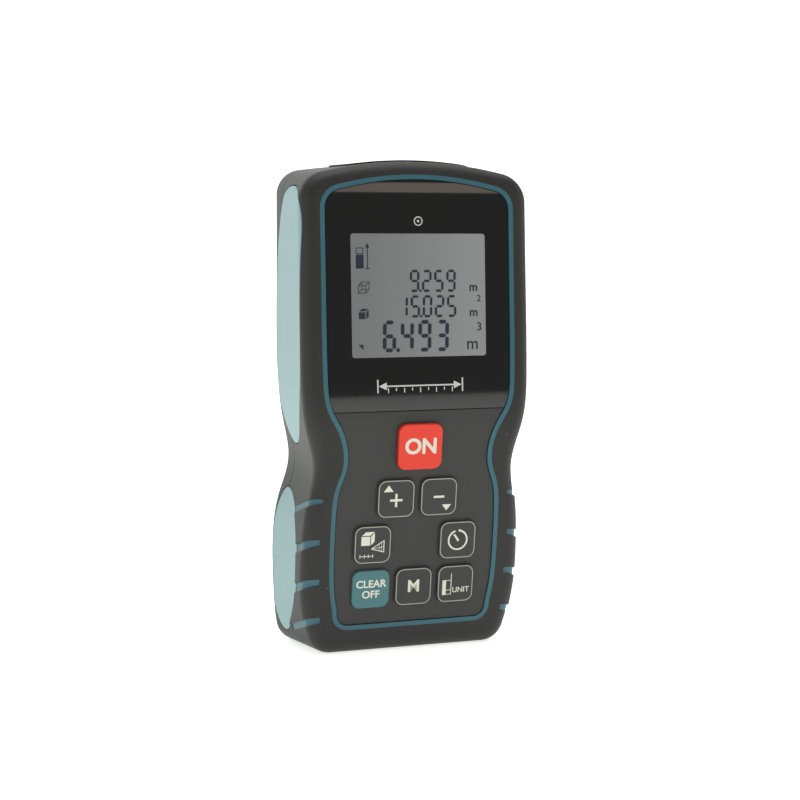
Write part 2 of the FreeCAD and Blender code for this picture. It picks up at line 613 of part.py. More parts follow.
def make_electronics():
    frame = keypad_frame()
    top = FLANGE_N - 1.3 - KEY_TRAVEL - 0.25
    low = key_v(ROW_1) - KEY / 2.0 - FLANGE - 0.6
    high = key_v(ON_Z) + KEY_ON / 2.0 - FLANGE - 0.6
    middle = (low + high) / 2.0
    half = (high - low) / 2.0
    wide = COLUMN + KEY / 2.0 + FLANGE + 0.55
    domes = [block(0, middle, wide, half, top - 0.25, top, 1.5)]
    for name, x, z, size, proud in KEYS:
        ball = Part.makeSphere(6.0, Vector(x, key_v(z), top + 0.2 - 6.0))
        cap = ball.common(block(x, key_v(z), 4.0, 4.0, top - 0.1, top + 1.0))
        domes.append(cap)
    SHAPES["dome_sheet"] = place(fused(domes), frame)
    board = block(0, middle, wide + 0.3, half + 0.4, top - 1.25, top - 0.25, 1.0)
    SHAPES["keypad_board"] = place(board, frame)
    # main board stands upright just in front of the battery bay
    y1 = BAY_FLOOR - BAY_T - 1.0
    y0 = y1 - 1.0
    board = box(-21.0, 21.0, y0, y1, 29.0, BAY_HIGH - 1.2)
    SHAPES["main_board"] = board
    chips = []
    for x, z, w, h, t in ((-6, 45, 9, 9, 1.4), (8, 44, 6, 8, 1.2), (-15, 62, 5, 3.5, 1.0),
                          (14, 58, 3, 3, 1.0), (16.5, 50, 3.2, 4.5, 1.6), (-16, 49, 4, 4, 2.0)):
        chips.append(box(x - w / 2, x + w / 2, y0 - t, y0, z - h / 2, z + h / 2))
    SHAPES["board_chips"] = Part.makeCompound(chips)
    SHAPES["tilt_sensor"] = box(3.0, 8.0, y0 - 1.6, y0, 60.0, 65.0)
    SHAPES["buzzer"] = rod(4.6, 2.4, (-2.5, y0 - 2.4, 35.0), (0, 1, 0))
    # ribbon between the keypad board and the main board
    SHAPES["flex_cable"] = box(14.0, 20.0, y0 - 0.35, y0 - 0.05, 33.0, 42.0)


def make_optics():
    cy = OPTICS_CY
    rim = optics_block(0.0, OPTICS_FLOOR, HEIGHT + 2).common(body_prism(-RIM_PROUD))
    well = optics_block(-1.2, OPTICS_FLOOR + 1.2, HEIGHT + 2)
    bezel = rim.cut(well)
    bezel = bezel.cut(rod(LENS_R - 0.4, 20, (LENS_X, cy, 105), (0, 0, 1)))
    bezel = bezel.cut(rod(BEAM_R - 0.4, 20, (BEAM_X, cy, 105), (0, 0, 1)))
    bezel = bezel.cut(rod(LENS_R + 0.05, 20, (LENS_X, cy, OPTICS_FLOOR - 19.2), (0, 0, 1)))
    bezel = bezel.cut(rod(BEAM_R + 0.05, 20, (BEAM_X, cy, OPTICS_FLOOR - 19.2), (0, 0, 1)))
    SHAPES["optics_bezel"] = one(bezel)
    # receiver lens: a disc with a domed outer face
    disc = rod(LENS_R, 2.6, (LENS_X, cy, OPTICS_FLOOR - 1.8), (0, 0, 1))
    dome_r = 16.0
    ball = Part.makeSphere(dome_r, Vector(LENS_X, cy, OPTICS_FLOOR + 0.8 - dome_r))
    SHAPES["receiver_lens"] = one(disc.common(ball))
    SHAPES["beam_window"] = rod(BEAM_R, 1.4, (BEAM_X, cy, OPTICS_FLOOR - 0.65), (0, 0, 1))
    # optics frame: a block with the receiver bore and the laser bore
    low = BAY_HIGH + BAY_T + 2.0
    cast = box(-15.0, 15.0, OPTICS_Y0 + 0.6, OPTICS_Y1 - 0.2, low + 1.4, OPTICS_FLOOR)
    cast = cast.cut(rod(LENS_R, 5, (LENS_X, cy, OPTICS_FLOOR - 1.8), (0, 0, 1)))
    cone = Part.makeCone(3.0, LENS_R - 0.5, OPTICS_FLOOR - 1.8 - low, Vector(LENS_X, cy, low))
    cast = cast.cut(cone)
    cast = cast.cut(rod(BEAM_R, 5, (BEAM_X, cy, OPTICS_FLOOR - 0.65), (0, 0, 1)))
    cast = cast.cut(rod(BEAM_R - 0.3, 30, (BEAM_X, cy, low - 3), (0, 0, 1)))
    cast = cast.cut(rod(3.0, 11.6, (BEAM_X, cy, low), (0, 0, 1)))
    cast = cast.cut(box(-25, 25, -DEPTH, OPTICS_Y0 + 1.4, low - 2, 103.4))
    cast = cast.common(envelope(RUBBER_T + CORE_T + 0.05))
    SHAPES["optics_frame"] = one(cast)
    laser = rod(3.0, 9.0, (BEAM_X, cy, low + 1.4), (0, 0, 1))
    laser = laser.cut(rod(2.0, 3.0, (BEAM_X, cy, low + 8.4), (0, 0, 1)))
    SHAPES["laser_module"] = laser
    SHAPES["collimator_lens"] = rod(2.0, 1.6, (BEAM_X, cy, low + 8.6), (0, 0, 1))
    SHAPES["detector_board"] = box(-15.0, 15.0, OPTICS_Y0 + 1.0, OPTICS_Y1 - 1.0, low + 0.2, low + 1.4)
    SHAPES["photo_detector"] = rod(2.2, 1.8, (LENS_X, cy, low + 1.4), (0, 0, 1))


def leaf_spring(x, z, way):
    # a strip bent into a flat-topped bow that stands on a contact plate at height z
    tall = 1.45
    line = [(-4.0, 0.0), (-2.6, 0.0), (-1.2, tall), (1.2, tall), (2.6, 0.0), (4.0, 0.0)]
    rim = line + [(u, w + LEAF_T) for u, w in reversed(line)]
    v = [Vector(x + u, CELL_Y - 2.5, z + way * w) for u, w in rim]
    return Part.Face(Part.makePolygon(v + [v[0]])).extrude(Vector(0, 5.0, 0))


def make_batteries():
    for index, side in enumerate((-1, 1)):
        x = side * CELL_X
        z = CELL_LOW + 1.2
        up = side < 0
        can = rod(CELL_R, CELL_L - NIPPLE_L, (x, CELL_Y, z + (0 if up else NIPPLE_L)), (0, 0, 1))
        rims = [e for e in can.Edges if abs(e.BoundBox.ZLength) < 1e-6 and e.Length > 10]
        can = can.makeFillet(0.5, rims)
        tip_z = z + (CELL_L - NIPPLE_L if up else 0)
        nub = rod(NIPPLE_R, NIPPLE_L + 0.1, (x, CELL_Y, tip_z - (0.1 if up else 0.0)), (0, 0, 1))
        SHAPES["battery_" + str(index + 1)] = fused([can, nub])
    low = CELL_LOW + 1.2
    high = low + CELL_L
    # bent leaf springs press on the flat ends, plates on the nubs
    springs = []
    plates = []
    for side in (-1, 1):
        x = side * CELL_X
        up = side < 0
        springs.append(leaf_spring(x, BAY_LOW + 1.6 if up else BAY_HIGH - 0.3, 1 if up else -1))
        base = BAY_LOW + 1.3 if up else BAY_HIGH - 0.3
        plates.append(box(x - 4.6, x + 4.6, CELL_Y - 4.6, CELL_Y + 4.6, base, base + 0.3))
    tab_z = BAY_HIGH - 0.3
    plates.append(box(-CELL_X - 4.6, -CELL_X + 4.6, CELL_Y - 4.6, CELL_Y + 4.6, tab_z, tab_z + 0.3))
    tab_z = BAY_LOW + 1.3
    plates.append(box(CELL_X - 4.6, CELL_X + 4.6, CELL_Y - 4.6, CELL_Y + 4.6, tab_z, tab_z + 0.3))
    SHAPES["contact_springs"] = Part.makeCompound(springs)
    SHAPES["contact_plates"] = Part.makeCompound(plates)


def make_cover():
    y0 = BACK_Y - 0.3 - COVER_T
    plate = box(-COVER_HALF, COVER_HALF, y0, BACK_Y - 0.3, COVER_LOW, COVER_HIGH)
    barrel = rod(HINGE_R, 2 * COVER_HALF, (-COVER_HALF, HINGE_Y, COVER_LOW), (1, 0, 0))
    cover = fused([plate, barrel])
    corners = [e for e in cover.Edges if e.BoundBox.ZMin > COVER_HIGH - 0.1 and e.BoundBox.YLength > 1]
    cover = cover.makeFillet(2.0, corners)
    cover = cover.cut(hinge_pin(HINGE_Y, COVER_LOW, COVER_HALF + 5).makeOffsetShape(FIT, 0.001))
    slot = box(-4.3, 4.3, BACK_Y - 1.3, BACK_Y + 1, COVER_HIGH - 9.5, COVER_HIGH - 2.4)
    cover = cover.cut(slot)
    SHAPES["battery_cover"] = one(cover)
    # the latch is a thumb slide that stays inside the cover's outline
    grip = box(-4.0, 4.0, BACK_Y - 1.25, BACK_Y - 0.45, COVER_HIGH - 6.9, COVER_HIGH - 2.7)
    ridges = []
    for i in range(4):
        z = COVER_HIGH - 6.2 + i * 0.9
        ridges.append(box(-3.0, 3.0, BACK_Y - 0.5, BACK_Y - 0.05, z, z + 0.4))
    SHAPES["battery_latch"] = fused([grip] + ridges)
    ring = box(-COVER_HALF + 0.6, COVER_HALF - 0.6, y0 - 0.5, y0, COVER_LOW + 3.4, COVER_HIGH - 0.6)
    ring = ring.cut(box(-COVER_HALF + 1.6, COVER_HALF - 1.6, y0 - 2, y0 + 1, COVER_LOW + 4.4,
                        COVER_HIGH - 1.6))
    SHAPES["cover_gasket"] = ring
    pad = box(-8.0, 8.0, CELL_Y + CELL_R + 0.3, y0, CELL_LOW + 9.0, CELL_LOW + 36.0)
    SHAPES["cover_pad"] = pad
    SHAPES["cover_pin"] = hinge_pin(HINGE_Y, COVER_LOW, COVER_HALF)


def make_bracket():
    y0 = BRACKET_Y - 0.5
    plate = box(-BRACKET_HALF, BRACKET_HALF, y0, y0 + BRACKET_T, BRACKET_Z, BRACKET_Z + BRACKET_L)
    corners = [e for e in plate.Edges if e.BoundBox.ZMin > BRACKET_Z + 1 and e.BoundBox.YLength > 1]
    plate = plate.makeFillet(2.5, corners)
    barrel = rod(HINGE_R, 2 * BRACKET_HALF, (-BRACKET_HALF, BRACKET_Y, BRACKET_Z), (1, 0, 0))
    bracket = fused([plate, barrel])
    bore = rod(PIN_R + FIT, 60, (-30, BRACKET_Y, BRACKET_Z), (1, 0, 0))
    bracket = bracket.cut(bore)
    dish = box(-8.0, 8.0, y0 + BRACKET_T - 0.5, BACK_Y + 1, BRACKET_Z + 5.0, BRACKET_Z + 17.0)
    SHAPES["positioning_bracket"] = one(bracket.cut(dish))
    SHAPES["bracket_pin"] = hinge_pin(BRACKET_Y, BRACKET_Z, BRACKET_HALF)


def make_hardware():
    screws = []
    for x, z in SCREWS:
        head = rod(2.0, 1.5, (x, SPLIT_Y + 5.0, z), (0, 1, 0))
        cross = fused([box(x - 1.2, x + 1.2, SPLIT_Y + 5.9, 20, z - 0.22, z + 0.22),
                       box(x - 0.22, x + 0.22, SPLIT_Y + 5.9, 20, z - 1.2, z + 1.2)])
        shank = rod(1.0, 11.0, (x, SPLIT_Y - 5.9, z), (0, 1, 0))
        screws.append(fused([head, shank]).cut(cross))
    SHAPES["shell_screws"] = Part.makeCompound(screws)
    insert = rod(INSERT_R, TRIPOD_L + 1.0, (0, BACK_Y - 7.9, TRIPOD_Z), (0, 1, 0))
    hole = rod(TRIPOD_R, TRIPOD_L + 2, (0, BACK_Y - 0.9 - TRIPOD_L, TRIPOD_Z), (0, 1, 0))
    SHAPES["tripod_insert"] = insert.cut(hole)


make_shells()
make_keys()
make_display()
make_electronics()
make_optics()
make_batteries()
make_cover()
make_bracket()
make_hardware()
os.makedirs("parts", exist_ok=True)
for node in sorted(SHAPES):
    SHAPES[node].exportStep("parts/" + node + ".step")
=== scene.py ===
import bpy
import math
import numpy as np
from mathutils import Matrix, Vector


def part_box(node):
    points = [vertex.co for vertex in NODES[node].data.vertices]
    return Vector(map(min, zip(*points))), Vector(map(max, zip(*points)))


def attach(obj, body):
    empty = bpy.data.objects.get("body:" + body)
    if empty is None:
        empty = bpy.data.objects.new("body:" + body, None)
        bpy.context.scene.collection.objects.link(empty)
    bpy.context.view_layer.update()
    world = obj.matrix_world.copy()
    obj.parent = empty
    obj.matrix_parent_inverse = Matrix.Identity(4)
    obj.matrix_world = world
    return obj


# Laser distance meter. Metres in the scene; sizes below are in millimetres and turned by MM.
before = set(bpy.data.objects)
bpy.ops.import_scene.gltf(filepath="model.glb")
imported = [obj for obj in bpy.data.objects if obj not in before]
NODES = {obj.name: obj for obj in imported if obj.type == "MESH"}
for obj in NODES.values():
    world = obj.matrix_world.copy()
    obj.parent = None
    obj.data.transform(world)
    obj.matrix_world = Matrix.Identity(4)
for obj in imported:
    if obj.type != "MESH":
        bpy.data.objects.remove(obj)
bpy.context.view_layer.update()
MM = 0.001
HOUSING = "housing"

# the two front planes, as the CAD has them: slopes in y per millimetre of height, and the line
# where they meet
WINDOW_SLOPE = 0.044
KEYPAD_SLOPE = 0.131
KNEE_Y, KNEE_Z = -15.58, 58.3
WINDOW_SINK = 0.25
LCD_Z, LCD_W, LCD_H = 85.3, 33.5, 28.8
LINT_SIZE, LINT_COLOUR = 0.45, "b5b2aa"


# ---------------------------------------------------------------- colour and node helpers
def linear(code):
    """An sRGB hex colour as linear RGBA."""
    out = []
    for i in (0, 2, 4):
        c = int(code[i:i + 2], 16) / 255.0
        out.append(c / 12.92 if c <= 0.04045 else ((c + 0.055) / 1.055) ** 2.4)
    return (out[0], out[1], out[2], 1.0)


def node(tree, kind, links=None, **values):
    """Adds a shader node. values set inputs by name, or attributes, and links join sockets to
    inputs."""
    n = tree.nodes.new(kind)
    for key, value in values.items():
        name = key.replace("_", " ")
        if name in n.inputs:
            n.inputs[name].default_value = value
        else:
            setattr(n, key, value)
    for key, socket in (links or {}).items():
        tree.links.new(socket, n.inputs[key])
    return n


def per_metre(size):
    """The scale of a noise texture whose features are about size mm across."""
    return 1.0 / (size * MM)


def surface(name, low, high, rough, grain, depth, patch=18.0, coat=0.0, metallic=0.0, spread=0.08,
            ior=1.47, sheen=0.0, dust=0.0, fade=None):
    """A procedural surface: the colour drifts between low and high over patches of that many mm,
    a fine grain of grain mm and depth mm gives bump, and roughness wanders by spread. dust is the
    share of pale lint specks. fade is a painted shade: a colour that the surface falls to, and the mm
    along X over which it does."""
    m = bpy.data.materials.new(name)
    m.use_nodes = True
    t = m.node_tree
    t.nodes.clear()
    at = node(t, "ShaderNodeTexCoord").outputs["Object"]
    wide = node(t, "ShaderNodeTexNoise", {"Vector": at}, Scale=per_metre(patch), Detail=3.0,
                Roughness=0.55)
    fine = node(t, "ShaderNodeTexNoise", {"Vector": at}, Scale=per_metre(grain), Detail=2.0,
                Roughness=0.6)
    mixed = node(t, "ShaderNodeMix", {"Factor": wide.outputs["Fac"]}, data_type="RGBA")
    mixed.inputs[6].default_value = linear(low)
    mixed.inputs[7].default_value = linear(high)
    colour = mixed.outputs[2]
    if fade:
        across = node(t, "ShaderNodeSeparateXYZ", {"Vector": at}).outputs["X"]
        ramp = node(t, "ShaderNodeMapRange", {"Value": across})
        ramp.inputs["From Min"].default_value = -fade[1] * MM / 2.0
        ramp.inputs["From Max"].default_value = fade[1] * MM / 2.0
        faded = node(t, "ShaderNodeMix", {"Factor": ramp.outputs["Result"]}, data_type="RGBA")
        faded.inputs[6].default_value = linear(fade[0])
        t.links.new(colour, faded.inputs[7])
        colour = faded.outputs[2]
    if dust:
        spots = node(t, "ShaderNodeTexNoise", {"Vector": at}, Scale=per_metre(LINT_SIZE), Detail=1.0,
                     Roughness=0.4)
        picked = node(t, "ShaderNodeMapRange", {"Value": spots.outputs["Fac"]})
        picked.inputs["From Min"].default_value = 0.80 - dust
        picked.inputs["From Max"].default_value = 0.86 - dust
        picked.inputs["To Max"].default_value = 0.35
        lint = node(t, "ShaderNodeMix", {"Factor": picked.outputs["Result"]}, data_type="RGBA")
        t.links.new(colour, lint.inputs[6])
        lint.inputs[7].default_value = linear(LINT_COLOUR)
        colour = lint.outputs[2]
    gloss = node(t, "ShaderNodeMapRange", {"Value": fine.outputs["Fac"]})
    gloss.inputs["To Min"].default_value = rough - spread
    gloss.inputs["To Max"].default_value = rough + spread
    bump = node(t, "ShaderNodeBump", {"Height": fine.outputs["Fac"]}, Strength=1.0, Distance=depth * MM)
    b = node(t, "ShaderNodeBsdfPrincipled", {
        "Base Color": colour, "Roughness": gloss.outputs["Result"],
        "Normal": bump.outputs["Normal"]}, Metallic=metallic, IOR=ior)
    b.inputs["Coat Weight"].default_value = coat
    b.inputs["Coat Roughness"].default_value = 0.06
    b.inputs["Sheen Weight"].default_value = sheen
    out = node(t, "ShaderNodeOutputMaterial")
    t.links.new(b.outputs["BSDF"], out.inputs["Surface"])
    return m


MATERIALS = {
    # thermoplastic elastomer, injection moulded over the shell with a spark-eroded grain
    "grip_elastomer": surface("grip_elastomer", "1e1e1b", "262522", 0.52, 0.22, 0.012, ior=1.44,
                              sheen=0.02, dust=0.02),
    # polycarbonate and ABS blend, moulded in teal, satin
    "core_polycarbonate": surface("core_polycarbonate", "2a5b69", "316472", 0.42, 0.3, 0.004),
    # the same blend in black, for the rear shell, frames and cover
    "shell_abs_black": surface("shell_abs_black", "201f1e", "282726", 0.48, 0.25, 0.01),
    # moulded ABS inlay, teal and satin; its colour is paler than the moulding's own teal, partly painted
    # reflection of glare from the bright surroundings
    "panel_abs_painted_glare": surface("panel_abs_painted_glare", "7f9fa3", "88a8ab", 0.46, 0.35, 0.004, patch=26.0),
    # acrylic window, printed black on its back and hard coated
    "window_acrylic": surface("window_acrylic", "0b0b0a", "0e0e0d", 0.10, 2.0, 0.0002, coat=0.6,
                              spread=0.02),
    # reflective liquid crystal panel behind clear acrylic; the fade darkens it towards its left side, a
    # painted shade
    "lcd_panel_painted_shade": surface("lcd_panel_painted_shade", "888a8d", "919293", 0.34, 1.2, 0.0003, patch=34.0, coat=0.25,
                         fade=("76777a", 26.0)),
    # driven liquid crystal segments
    "lcd_segment": surface("lcd_segment", "15142c", "1b1a35", 0.4, 0.6, 0.0, coat=0.2),
    # silicone keypad, compression moulded, matte
    "mat_silicone": surface("mat_silicone", "323230", "373735", 0.58, 0.12, 0.006, dust=0.01),
    "key_silicone": surface("key_silicone", "333331", "383836", 0.56, 0.12, 0.006),
    "key_silicone_red": surface("key_silicone_red", "e4331f", "ea3c26", 0.46, 0.15, 0.004),
    "key_silicone_teal": surface("key_silicone_teal", "427379", "487b81", 0.48, 0.15, 0.004),
    # pad-printed silicone ink
    "print_ink": surface("print_ink", "dcdacb", "e6e4d6", 0.55, 0.3, 0.001),
    "print_ink_line": surface("print_ink_line", "a9a79c", "b3b1a6", 0.55, 0.3, 0.001),
    "print_ink_mark": surface("print_ink_mark", "c2c3c0", "cdcecb", 0.35, 0.4, 0.0005),
    # moulded nitrile seal, foam pad
    "seal_nitrile": surface("seal_nitrile", "151515", "1d1d1c", 0.6, 0.2, 0.008),
    "foam_closed_cell": surface("foam_closed_cell", "2c2c2f", "3a3a3e", 0.85, 0.5, 0.08),
    # glass-epoxy laminate with green solder mask, and parts moulded in epoxy
    "board_laminate": surface("board_laminate", "0e4a2c", "125634", 0.35, 1.1, 0.006, patch=7.0),
    "chip_epoxy": surface("chip_epoxy", "161617", "202022", 0.6, 0.1, 0.006),
    "flex_polyimide": surface("flex_polyimide", "8c5417", "9c6220", 0.3, 0.8, 0.002),
    "dome_polyester": surface("dome_polyester", "b9b39a", "c6c1aa", 0.3, 0.5, 0.002),
    "guide_acrylic": surface("guide_acrylic", "dfe3df", "e9ece8", 0.2, 1.5, 0.001),
    # drawn stainless steel, zinc-plated screws, turned brass, die-cast alloy
    "steel_drawn": surface("steel_drawn", "9c9c9a", "aaaaa8", 0.28, 0.15, 0.002, metallic=1.0),
    "steel_zinc_plated": surface("steel_zinc_plated", "8f9093", "a3a3a2", 0.36, 0.2, 0.003, metallic=1.0),
    "brass_turned": surface("brass_turned", "b08c46", "c09c52", 0.3, 0.15, 0.003, metallic=1.0),
    "alloy_die_cast": surface("alloy_die_cast", "85868a", "939498", 0.45, 0.4, 0.01, metallic=1.0),
    "optics_black_matte": surface("optics_black_matte", "0f0f10", "161617", 0.62, 0.2, 0.008),
    # printed film sleeve of a dry cell
    "cell_sleeve": surface("cell_sleeve", "27486b", "2e5379", 0.3, 1.0, 0.001, coat=0.3),
    "plate_polyester": surface("plate_polyester", "8f9593", "9aa09e", 0.4, 0.4, 0.002),
}


def lens_glass():
    """Ground glass with an anti-reflection coating that reflects violet."""
    m = surface("coated_glass", "17131f", "1d1828", 0.04, 3.0, 0.0, coat=1.0, spread=0.01, ior=1.6)
    tree = m.node_tree
    shader = [n for n in tree.nodes if n.type == "BSDF_PRINCIPLED"][0]
    shader.inputs["Coat Tint"].default_value = linear("b79cff")
    return m


MATERIALS["coated_glass"] = lens_glass()

DRESS = {
    "front_grip": "grip_elastomer", "rear_grip": "grip_elastomer", "front_shell": "core_polycarbonate",
    "rear_shell": "shell_abs_black", "display_window": "window_acrylic", "lcd_glass": "lcd_panel_painted_shade",
    "backlight": "guide_acrylic", "lcd_frame": "shell_abs_black", "lcd_connector": "seal_nitrile",
    "keypad_mat": "mat_silicone", "key_on": "key_silicone_red", "key_clear": "key_silicone_teal",
    "housing_gasket": "seal_nitrile", "dome_sheet": "dome_polyester", "keypad_board": "board_laminate",
    "main_board": "board_laminate", "detector_board": "board_laminate", "board_chips": "chip_epoxy",
    "tilt_sensor": "chip_epoxy", "buzzer": "optics_black_matte", "flex_cable": "flex_polyimide",
    "shell_screws": "steel_zinc_plated", "optics_bezel": "optics_black_matte",
    "optics_frame": "alloy_die_cast", "receiver_lens": "coated_glass", "beam_window": "coated_glass",
    "collimator_lens": "coated_glass", "laser_module": "brass_turned", "photo_detector": "steel_drawn",
    "battery_1": "cell_sleeve", "battery_2": "cell_sleeve", "contact_springs": "steel_drawn",
    "contact_plates": "steel_drawn", "battery_cover": "shell_abs_black", "battery_latch": "panel_abs_painted_glare",
    "cover_gasket": "seal_nitrile", "cover_pad": "foam_closed_cell", "cover_pin": "steel_drawn",
    "positioning_bracket": "panel_abs_painted_glare", "bracket_pin": "steel_drawn", "tripod_insert": "brass_turned",
    "strap_pin": "steel_drawn", "name_plate": "plate_polyester",
}
for name, obj in NODES.items():
    kind = DRESS.get(name)
    if kind is None:
        kind = "panel_abs_painted_glare" if name.startswith("side_panel") else "key_silicone"
    if not obj.material_slots:
        obj.data.materials.append(MATERIALS[kind])
    for s in obj.material_slots:
        s.material = MATERIALS[kind]


# ---------------------------------------------------------------- flat prints and segments
def slanted(x, y, z, slope, lift):
    """The matrix from a flat drawing in mm to the object: drawing X goes to X, drawing Y goes up a
    plane whose y changes by slope per unit of height, and the drawing lies lift mm in front of the
    point x, y, z (mm) on that plane."""
    n = math.sqrt(1.0 + slope * slope)
    up = Vector((0.0, slope / n, 1.0 / n))
    out = Vector((0.0, -1.0 / n, slope / n))
    p = Vector((x, y, z)) + out * lift
    m = Matrix(((1, up.x, out.x, p.x), (0, up.y, out.y, p.y), (0, up.z, out.z, p.z), (0, 0, 0, 1)))
    return Matrix.Scale(MM, 4) @ m


def finish_print(mesh, name, material, body):
    """Gives a print's mesh its material and lets it ride on body."""
    mesh.name = name
    mesh.materials.clear()
    mesh.materials.append(MATERIALS[material])
    obj = bpy.data.objects.new(name, mesh)
    bpy.context.scene.collection.objects.link(obj)
    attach(obj, body)
    return obj


def drawing(name, parts, place, material, body, thick=0.02):
    """Prints as one mesh. A part is a closed outline in mm, or an outer and an inner outline of as
    many points, for a ring. Each outline is carried up by thick; an outline alone is closed by a
    face at each end and a ring by its inner wall. Each part lies a little above the one before, so
    that strokes may cross."""
    verts, faces, start = [], [], 0
    for i, part in enumerate(parts):
        low = i * 0.0005
        ring = isinstance(part, tuple)
        loops = [np.asarray(p, float) for p in (part if ring else (part,))]
        loops = [p[::-1] if turn(p) < 0 else p for p in loops]
        stack = [(loops[0], low), (loops[0], low + thick)]
        if ring:
            stack += [(loops[1], low + thick), (loops[1], low)]
        count = len(loops[0])
        verts += [np.column_stack([p, np.full(count, z)]) for p, z in stack]
        a = np.arange(count)
        b = np.roll(a, -1)
        rows = [(k, k + 1) for k in range(len(stack) - 1)] + ([(3, 0)] if ring else [])
        for k, m in rows:
            quads = np.stack([a + k * count, b + k * count, b + m * count, a + m * count], -1)
            faces += (quads + start).tolist()
        if not ring:
            faces += [(a[::-1] + start).tolist(), (a + count + start).tolist()]
        start += count * len(stack)
    mesh = bpy.data.meshes.new(name)
    mesh.from_pydata(np.concatenate(verts).tolist(), [], faces)
    mesh.transform(place)
    return finish_print(mesh, name, material, body)


def turn(loop):
    """Twice the signed area of an outline: positive where it runs anticlockwise."""
    after = np.roll(loop, -1, 0)
    return float(np.sum(loop[:, 0] * after[:, 1] - loop[:, 1] * after[:, 0]))


def lettering(name, words, size, place, material, body, bold=0.0, squeeze=1.0, thick=0.02):
    """Plain capitals, centred on the drawing's origin, size mm high; bold thickens the strokes."""
    text = bpy.data.curves.new(name, "FONT")
    text.body = words
    text.size = size / 0.69
    text.align_x = "CENTER"
    text.align_y = "CENTER"
    text.space_line = 0.82
    text.offset = bold
    text.extrude = thick / 2.0
    holder = bpy.data.objects.new(name + "_flat", text)
    bpy.context.scene.collection.objects.link(holder)
    bpy.context.view_layer.update()
    shaped = holder.evaluated_get(bpy.context.evaluated_depsgraph_get())
    mesh = bpy.data.meshes.new_from_object(shaped)
    bpy.data.objects.remove(holder)
    mesh.transform(place @ Matrix.Diagonal((squeeze, 1.0, 1.0, 1.0)))
    return finish_print(mesh, name, material, body)


def round_box(w, h, r, cx=0.0, cy=0.0, steps=8):
    """A rounded rectangle: four quarter circles of radius r about its corner centres."""
    a = np.linspace(0.0, math.pi / 2.0, steps)
    loop = []
    for k, (sx, sy) in enumerate(((1, 1), (-1, 1), (-1, -1), (1, -1))):
        t = a + k * math.pi / 2.0
        x = cx + sx * (w / 2 - r) + r * np.cos(t)
        y = cy + sy * (h / 2 - r) + r * np.sin(t)
        loop.append(np.stack([x, y], -1))
    return np.concatenate(loop)


def bar(x0, y0, x1, y1, width):
    """A straight stroke from one point to another, with square ends."""
    p, q = np.array([x0, y0]), np.array([x1, y1])
    d = (q - p) / np.linalg.norm(q - p)
    s = np.array([-d[1], d[0]]) * width / 2.0
    return np.array([p - s, q - s, q + s, p + s])


def arc_band(r, width, start, end, cx=0.0, cy=0.0, steps=40):
    """A stroke along a circle's arc: the outer edge one way and the inner edge back. Degrees."""
    a = np.radians(np.linspace(start, end, steps))
    outer = np.stack([cx + (r + width / 2) * np.cos(a), cy + (r + width / 2) * np.sin(a)], -1)
    inner = np.stack([cx + (r - width / 2) * np.cos(a), cy + (r - width / 2) * np.sin(a)], -1)
    return np.concatenate([outer, inner[::-1]])


SEGMENTS = {"0": "abcdef", "1": "bc", "2": "abged", "3": "abgcd", "4": "fgbc", "5": "afgcd",
            "6": "afgedc", "7": "abc", "8": "abcdefg", "9": "abcdfg"}


def digit(char, x, y, w, h, stroke, lean=0.03):
    """Seven-segment strokes of one digit, lower left corner at x, y, with bevelled ends."""
    e = stroke / 2.0
    g = stroke * 0.22
    lines = {"a": (e, h - e, w - e, h - e), "g": (e, h / 2, w - e, h / 2), "d": (e, e, w - e, e),
             "f": (e, h / 2, e, h - e), "b": (w - e, h / 2, w - e, h - e),
             "e": (e, e, e, h / 2), "c": (w - e, e, w - e, h / 2)}
    out = []
    for s in SEGMENTS[char]:
        x0, y0, x1, y1 = lines[s]
        d = np.array([x1 - x0, y1 - y0])
        d = d / np.linalg.norm(d)
        n = np.array([-d[1], d[0]])
        p = np.array([x0, y0]) + d * g
        q = np.array([x1, y1]) - d * g
        c = e * 0.8
        pts = np.array([p, p + d * c + n * e, q - d * c + n * e, q, q - d * c - n * e, p + d * c - n * e])
        pts[:, 0] += lean * pts[:, 1]
        out.append(pts + np.array([x, y]))
    return out


def number(text, right, y, w, h, pitch, stroke):
    """Digits from the right; a point sits in the gap before the digit that follows it."""
    loops = []
    x = right - w
    for char in reversed(text):
        if char == ".":
            gap = x + pitch - (pitch - w) / 2.0
            loops.append(round_box(stroke, stroke, stroke * 0.4, gap - 0.02, y + stroke / 2, 4))
        else:
            loops += digit(char, x, y, w, h, stroke)
            x -= pitch
    return loops


# ---------------------------------------------------------------- window: display and marks
def window_at(x, z, lift):
    """The drawing plane on the window, round the point x, z and lift mm in front of it."""
    y = KNEE_Y + WINDOW_SINK + WINDOW_SLOPE * (z - KNEE_Z)
    return slanted(x, y, z, WINDOW_SLOPE, lift)


def on_display(name, parts):
    """Driven segments of the liquid crystal, drawn about the middle of its view."""
    drawing(name, parts, window_at(0, LCD_Z, 0.03), "lcd_segment", HOUSING)


def wire_cube(x, y, w, d, line):
    """Edges of a cube seen from the upper right, lower left corner at x, y, depth drawn at d."""
    front = [(x, y), (x + w, y), (x + w, y + w), (x, y + w)]
    back = [(a + d, b + d) for a, b in front]
    ends = list(zip(front, front[1:] + front[:1]))
    ends += list(zip(back, back[1:] + back[:1]))
    ends += list(zip(front, back))
    return [bar(a[0], a[1], b[0], b[1], line) for a, b in ends]


def solid_cube(x, y, w, d):
    """Three faces of a cube seen from the upper right, with thin gaps between them."""
    g = 0.22
    right, top = x + w, y + w
    near = np.array([(x, y), (right, y), (right, top), (x, top)])
    lid = np.array([(x + 0.1, top + g), (right, top + g), (right + d, top + d), (x + d, top + d)])
    side = np.array([(right + g, y), (right + d, y + d - g), (right + d, top + d - g), (right + g, top)])
    return [near, lid, side]


